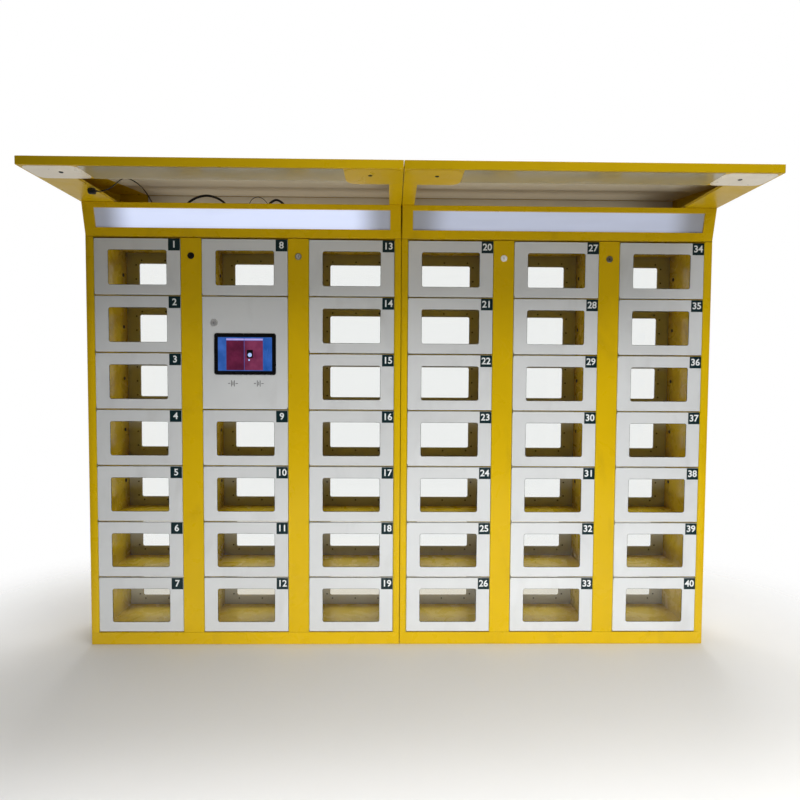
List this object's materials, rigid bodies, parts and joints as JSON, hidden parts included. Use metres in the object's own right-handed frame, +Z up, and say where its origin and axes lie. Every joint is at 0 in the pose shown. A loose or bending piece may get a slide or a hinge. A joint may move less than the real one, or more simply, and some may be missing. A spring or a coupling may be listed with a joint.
{
  "type": "phone charging kiosk",
  "caption": "Wide steel charging locker with small windowed doors, a touchscreen service door, a lit header and a forward canopy.",
  "frame": {"origin": "on the floor, in the middle of the overall footprint, canopy included", "axes": "+X to the right of a person facing the doors, +Y from the doors into the cabinet, +Z up"},
  "size_m": [2.476, 0.726, 1.881],
  "materials": {
    "yellow_paint": "gloss",
    "white_paint": "satin",
    "lock_steel": "polished",
    "lamp_opal": "satin",
    "screen_black": "gloss",
    "cable_black": "matte"
  },
  "bodies": {
    "cabinet": {"cabinet_left": "yellow_paint", "cabinet_right": "yellow_paint", "compartments_left": "yellow_paint", "compartments_right": "yellow_paint", "rear_panel_left": "yellow_paint", "rear_panel_right": "yellow_paint", "light_box_left": "yellow_paint", "light_box_right": "yellow_paint", "lamp_diffuser_left": "lamp_opal", "lamp_diffuser_right": "lamp_opal", "canopy_left": "yellow_paint", "canopy_right": "yellow_paint", "wiring_harness": "cable_black"},
    "door_01": {"door_01": "white_paint"},
    "door_02": {"door_02": "white_paint"},
    "door_03": {"door_03": "white_paint"},
    "door_04": {"door_04": "white_paint"},
    "door_05": {"door_05": "white_paint"},
    "door_06": {"door_06": "white_paint"},
    "door_07": {"door_07": "white_paint"},
    "door_08": {"door_08": "white_paint"},
    "door_09": {"door_09": "white_paint"},
    "door_10": {"door_10": "white_paint"},
    "door_11": {"door_11": "white_paint"},
    "door_12": {"door_12": "white_paint"},
    "door_13": {"door_13": "white_paint"},
    "door_14": {"door_14": "white_paint"},
    "door_15": {"door_15": "white_paint"},
    "door_16": {"door_16": "white_paint"},
    "door_17": {"door_17": "white_paint"},
    "door_18": {"door_18": "white_paint"},
    "door_19": {"door_19": "white_paint"},
    "door_20": {"door_20": "white_paint"},
    "door_21": {"door_21": "white_paint"},
    "door_22": {"door_22": "white_paint"},
    "door_23": {"door_23": "white_paint"},
    "door_24": {"door_24": "white_paint"},
    "door_25": {"door_25": "white_paint"},
    "door_26": {"door_26": "white_paint"},
    "door_27": {"door_27": "white_paint"},
    "door_28": {"door_28": "white_paint"},
    "door_29": {"door_29": "white_paint"},
    "door_30": {"door_30": "white_paint"},
    "door_31": {"door_31": "white_paint"},
    "door_32": {"door_32": "white_paint"},
    "door_33": {"door_33": "white_paint"},
    "door_34": {"door_34": "white_paint"},
    "door_35": {"door_35": "white_paint"},
    "door_36": {"door_36": "white_paint"},
    "door_37": {"door_37": "white_paint"},
    "door_38": {"door_38": "white_paint"},
    "door_39": {"door_39": "white_paint"},
    "door_40": {"door_40": "white_paint"},
    "service_door": {"service_door": "white_paint", "touchscreen": "screen_black"},
    "service_lock": {"service_lock": "lock_steel"},
    "column_lock_1": {"column_lock_1": "lock_steel"},
    "column_lock_2": {"column_lock_2": "lock_steel"},
    "column_lock_3": {"column_lock_3": "lock_steel"},
    "column_lock_4": {"column_lock_4": "lock_steel"}
  },
  "joints": [
    {"name": "service_door_hinge", "type": "hinge", "parent": "cabinet", "child": "service_door", "pos_m": [-0.449, 0.063, 1.175], "axis": [0, 0, 1], "range_deg": [0, 95]},
    {"name": "service_lock_turn", "type": "hinge", "parent": "service_door", "child": "service_lock", "pos_m": [-0.739, 0.063, 1.293], "axis": [0, 1, 0], "range_deg": [0, 90]},
    {"name": "column_lock_1_turn", "type": "hinge", "parent": "cabinet", "child": "column_lock_1", "pos_m": [-0.8275, 0.063, 1.556], "axis": [0, 1, 0], "range_deg": [0, 90]},
    {"name": "column_lock_2_turn", "type": "hinge", "parent": "cabinet", "child": "column_lock_2", "pos_m": [-0.4065, 0.063, 1.556], "axis": [0, 1, 0], "range_deg": [0, 90]},
    {"name": "column_lock_3_turn", "type": "hinge", "parent": "cabinet", "child": "column_lock_3", "pos_m": [0.4065, 0.063, 1.556], "axis": [0, 1, 0], "range_deg": [0, 90]},
    {"name": "column_lock_4_turn", "type": "hinge", "parent": "cabinet", "child": "column_lock_4", "pos_m": [0.8275, 0.063, 1.556], "axis": [0, 1, 0], "range_deg": [0, 90]},
    {"name": "door_01_hinge", "type": "hinge", "parent": "cabinet", "child": "door_01", "pos_m": [-1.206, 0.063, 1.5125], "axis": [0, 0, -1], "range_deg": [0, 95]},
    {"name": "door_02_hinge", "type": "hinge", "parent": "cabinet", "child": "door_02", "pos_m": [-1.206, 0.063, 1.2875], "axis": [0, 0, -1], "range_deg": [0, 95]},
    {"name": "door_03_hinge", "type": "hinge", "parent": "cabinet", "child": "door_03", "pos_m": [-1.206, 0.063, 1.0625], "axis": [0, 0, -1], "range_deg": [0, 95]},
    {"name": "door_04_hinge", "type": "hinge", "parent": "cabinet", "child": "door_04", "pos_m": [-1.206, 0.063, 0.8375], "axis": [0, 0, -1], "range_deg": [0, 95]},
    {"name": "door_05_hinge", "type": "hinge", "parent": "cabinet", "child": "door_05", "pos_m": [-1.206, 0.063, 0.6125], "axis": [0, 0, -1], "range_deg": [0, 95]},
    {"name": "door_06_hinge", "type": "hinge", "parent": "cabinet", "child": "door_06", "pos_m": [-1.206, 0.063, 0.3875], "axis": [0, 0, -1], "range_deg": [0, 95]},
    {"name": "door_07_hinge", "type": "hinge", "parent": "cabinet", "child": "door_07", "pos_m": [-1.206, 0.063, 0.1625], "axis": [0, 0, -1], "range_deg": [0, 95]},
    {"name": "door_08_hinge", "type": "hinge", "parent": "cabinet", "child": "door_08", "pos_m": [-0.785, 0.063, 1.5125], "axis": [0, 0, -1], "range_deg": [0, 95]},
    {"name": "door_09_hinge", "type": "hinge", "parent": "cabinet", "child": "door_09", "pos_m": [-0.785, 0.063, 0.8375], "axis": [0, 0, -1], "range_deg": [0, 95]},
    {"name": "door_10_hinge", "type": "hinge", "parent": "cabinet", "child": "door_10", "pos_m": [-0.785, 0.063, 0.6125], "axis": [0, 0, -1], "range_deg": [0, 95]},
    {"name": "door_11_hinge", "type": "hinge", "parent": "cabinet", "child": "door_11", "pos_m": [-0.785, 0.063, 0.3875], "axis": [0, 0, -1], "range_deg": [0, 95]},
    {"name": "door_12_hinge", "type": "hinge", "parent": "cabinet", "child": "door_12", "pos_m": [-0.785, 0.063, 0.1625], "axis": [0, 0, -1], "range_deg": [0, 95]},
    {"name": "door_13_hinge", "type": "hinge", "parent": "cabinet", "child": "door_13", "pos_m": [-0.364, 0.063, 1.5125], "axis": [0, 0, -1], "range_deg": [0, 95]},
    {"name": "door_14_hinge", "type": "hinge", "parent": "cabinet", "child": "door_14", "pos_m": [-0.364, 0.063, 1.2875], "axis": [0, 0, -1], "range_deg": [0, 95]},
    {"name": "door_15_hinge", "type": "hinge", "parent": "cabinet", "child": "door_15", "pos_m": [-0.364, 0.063, 1.0625], "axis": [0, 0, -1], "range_deg": [0, 95]},
    {"name": "door_16_hinge", "type": "hinge", "parent": "cabinet", "child": "door_16", "pos_m": [-0.364, 0.063, 0.8375], "axis": [0, 0, -1], "range_deg": [0, 95]},
    {"name": "door_17_hinge", "type": "hinge", "parent": "cabinet", "child": "door_17", "pos_m": [-0.364, 0.063, 0.6125], "axis": [0, 0, -1], "range_deg": [0, 95]},
    {"name": "door_18_hinge", "type": "hinge", "parent": "cabinet", "child": "door_18", "pos_m": [-0.364, 0.063, 0.3875], "axis": [0, 0, -1], "range_deg": [0, 95]},
    {"name": "door_19_hinge", "type": "hinge", "parent": "cabinet", "child": "door_19", "pos_m": [-0.364, 0.063, 0.1625], "axis": [0, 0, -1], "range_deg": [0, 95]},
    {"name": "door_20_hinge", "type": "hinge", "parent": "cabinet", "child": "door_20", "pos_m": [0.028, 0.063, 1.5125], "axis": [0, 0, -1], "range_deg": [0, 95]},
    {"name": "door_21_hinge", "type": "hinge", "parent": "cabinet", "child": "door_21", "pos_m": [0.028, 0.063, 1.2875], "axis": [0, 0, -1], "range_deg": [0, 95]},
    {"name": "door_22_hinge", "type": "hinge", "parent": "cabinet", "child": "door_22", "pos_m": [0.028, 0.063, 1.0625], "axis": [0, 0, -1], "range_deg": [0, 95]},
    {"name": "door_23_hinge", "type": "hinge", "parent": "cabinet", "child": "door_23", "pos_m": [0.028, 0.063, 0.8375], "axis": [0, 0, -1], "range_deg": [0, 95]},
    {"name": "door_24_hinge", "type": "hinge", "parent": "cabinet", "child": "door_24", "pos_m": [0.028, 0.063, 0.6125], "axis": [0, 0, -1], "range_deg": [0, 95]},
    {"name": "door_25_hinge", "type": "hinge", "parent": "cabinet", "child": "door_25", "pos_m": [0.028, 0.063, 0.3875], "axis": [0, 0, -1], "range_deg": [0, 95]},
    {"name": "door_26_hinge", "type": "hinge", "parent": "cabinet", "child": "door_26", "pos_m": [0.028, 0.063, 0.1625], "axis": [0, 0, -1], "range_deg": [0, 95]},
    {"name": "door_27_hinge", "type": "hinge", "parent": "cabinet", "child": "door_27", "pos_m": [0.449, 0.063, 1.5125], "axis": [0, 0, -1], "range_deg": [0, 95]},
    {"name": "door_28_hinge", "type": "hinge", "parent": "cabinet", "child": "door_28", "pos_m": [0.449, 0.063, 1.2875], "axis": [0, 0, -1], "range_deg": [0, 95]},
    {"name": "door_29_hinge", "type": "hinge", "parent": "cabinet", "child": "door_29", "pos_m": [0.449, 0.063, 1.0625], "axis": [0, 0, -1], "range_deg": [0, 95]},
    {"name": "door_30_hinge", "type": "hinge", "parent": "cabinet", "child": "door_30", "pos_m": [0.449, 0.063, 0.8375], "axis": [0, 0, -1], "range_deg": [0, 95]},
    {"name": "door_31_hinge", "type": "hinge", "parent": "cabinet", "child": "door_31", "pos_m": [0.449, 0.063, 0.6125], "axis": [0, 0, -1], "range_deg": [0, 95]},
    {"name": "door_32_hinge", "type": "hinge", "parent": "cabinet", "child": "door_32", "pos_m": [0.449, 0.063, 0.3875], "axis": [0, 0, -1], "range_deg": [0, 95]},
    {"name": "door_33_hinge", "type": "hinge", "parent": "cabinet", "child": "door_33", "pos_m": [0.449, 0.063, 0.1625], "axis": [0, 0, -1], "range_deg": [0, 95]},
    {"name": "door_34_hinge", "type": "hinge", "parent": "cabinet", "child": "door_34", "pos_m": [0.87, 0.063, 1.5125], "axis": [0, 0, -1], "range_deg": [0, 95]},
    {"name": "door_35_hinge", "type": "hinge", "parent": "cabinet", "child": "door_35", "pos_m": [0.87, 0.063, 1.2875], "axis": [0, 0, -1], "range_deg": [0, 95]},
    {"name": "door_36_hinge", "type": "hinge", "parent": "cabinet", "child": "door_36", "pos_m": [0.87, 0.063, 1.0625], "axis": [0, 0, -1], "range_deg": [0, 95]},
    {"name": "door_37_hinge", "type": "hinge", "parent": "cabinet", "child": "door_37", "pos_m": [0.87, 0.063, 0.8375], "axis": [0, 0, -1], "range_deg": [0, 95]},
    {"name": "door_38_hinge", "type": "hinge", "parent": "cabinet", "child": "door_38", "pos_m": [0.87, 0.063, 0.6125], "axis": [0, 0, -1], "range_deg": [0, 95]},
    {"name": "door_39_hinge", "type": "hinge", "parent": "cabinet", "child": "door_39", "pos_m": [0.87, 0.063, 0.3875], "axis": [0, 0, -1], "range_deg": [0, 95]},
    {"name": "door_40_hinge", "type": "hinge", "parent": "cabinet", "child": "door_40", "pos_m": [0.87, 0.063, 0.1625], "axis": [0, 0, -1], "range_deg": [0, 95]}
  ]
}
